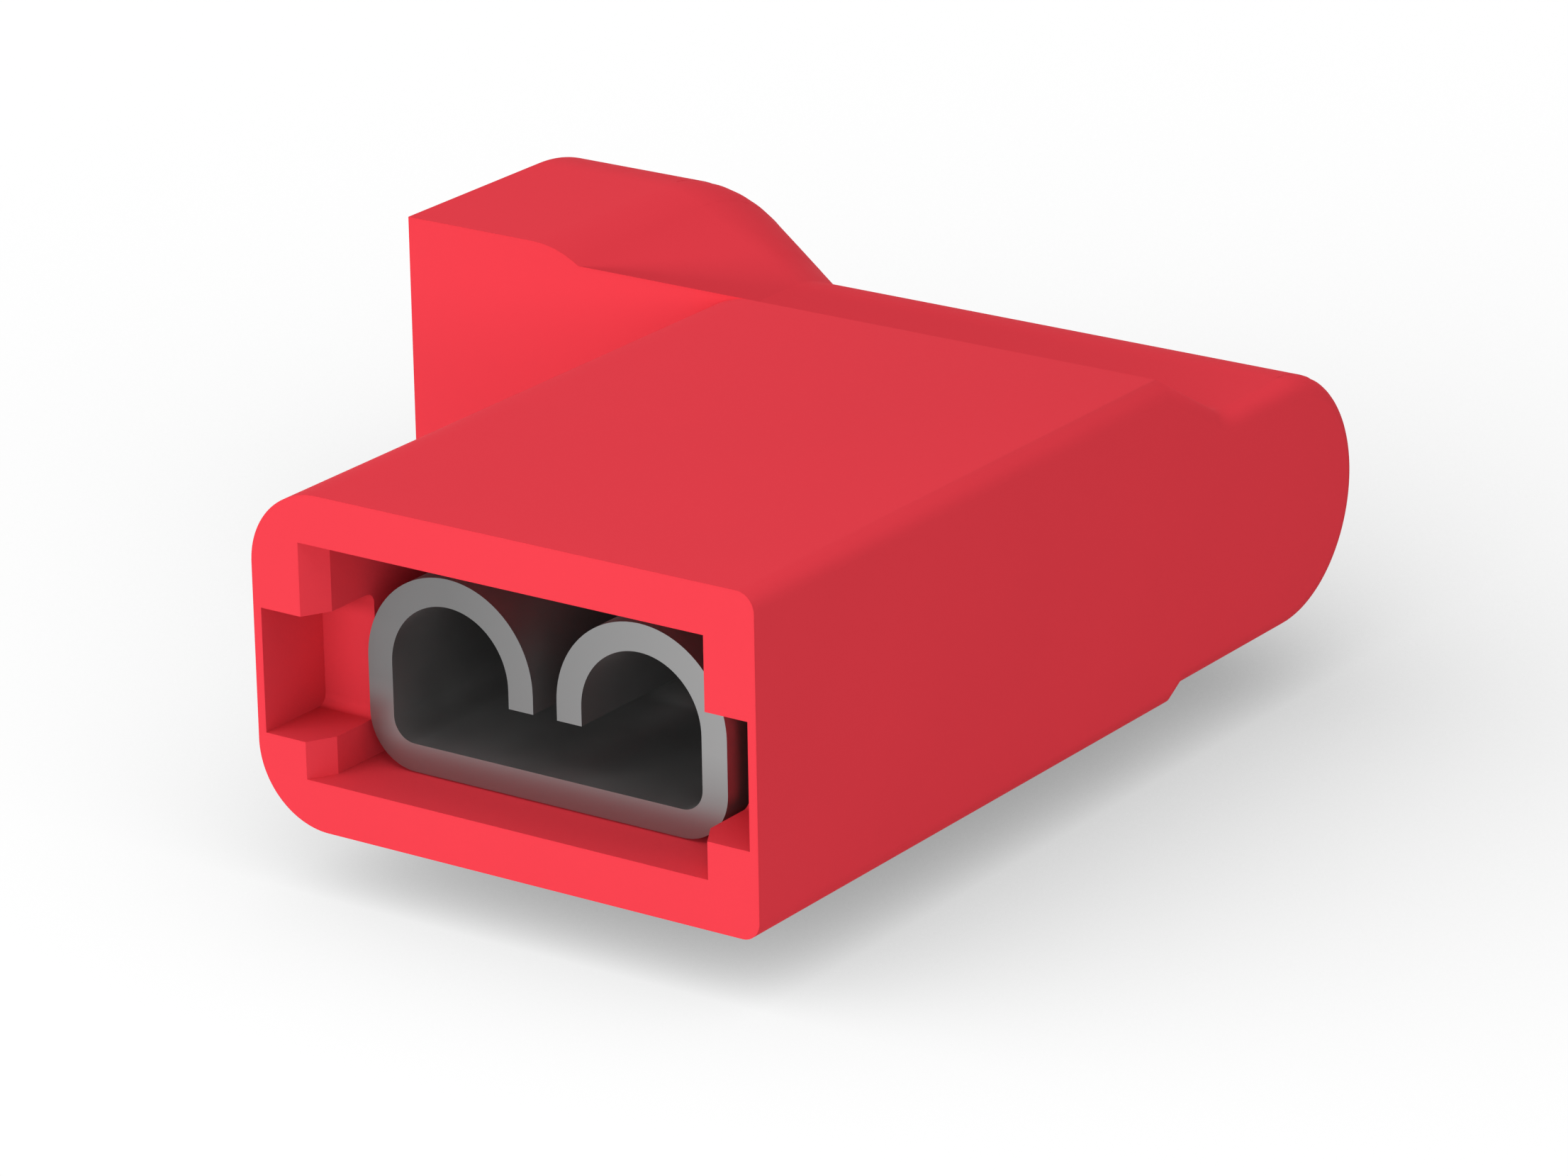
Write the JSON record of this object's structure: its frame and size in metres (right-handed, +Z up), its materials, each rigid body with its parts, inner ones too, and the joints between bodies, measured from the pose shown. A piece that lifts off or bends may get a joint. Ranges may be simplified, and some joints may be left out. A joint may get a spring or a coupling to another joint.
{
  "type": "insulated flag receptacle terminal",
  "caption": "Moulded housing with a rolled push-on contact inside: a flat tab enters the front, and the wire enters from the side at a right angle.",
  "frame": {"origin": "middle of the mouth, on the mouth's face", "axes": "+Y is the way the tab goes in, +X is the way the wire goes in, +Z is up"},
  "size_m": [0.0131, 0.0161, 0.0059],
  "materials": {
    "red_nylon": "smooth moulded nylon, soft sheen",
    "tinned_brass": "dull tin plate over brass"
  },
  "bodies": {
    "root": {"insulating_housing": "red_nylon", "receptacle_contact": "tinned_brass"}
  },
  "joints": []
}
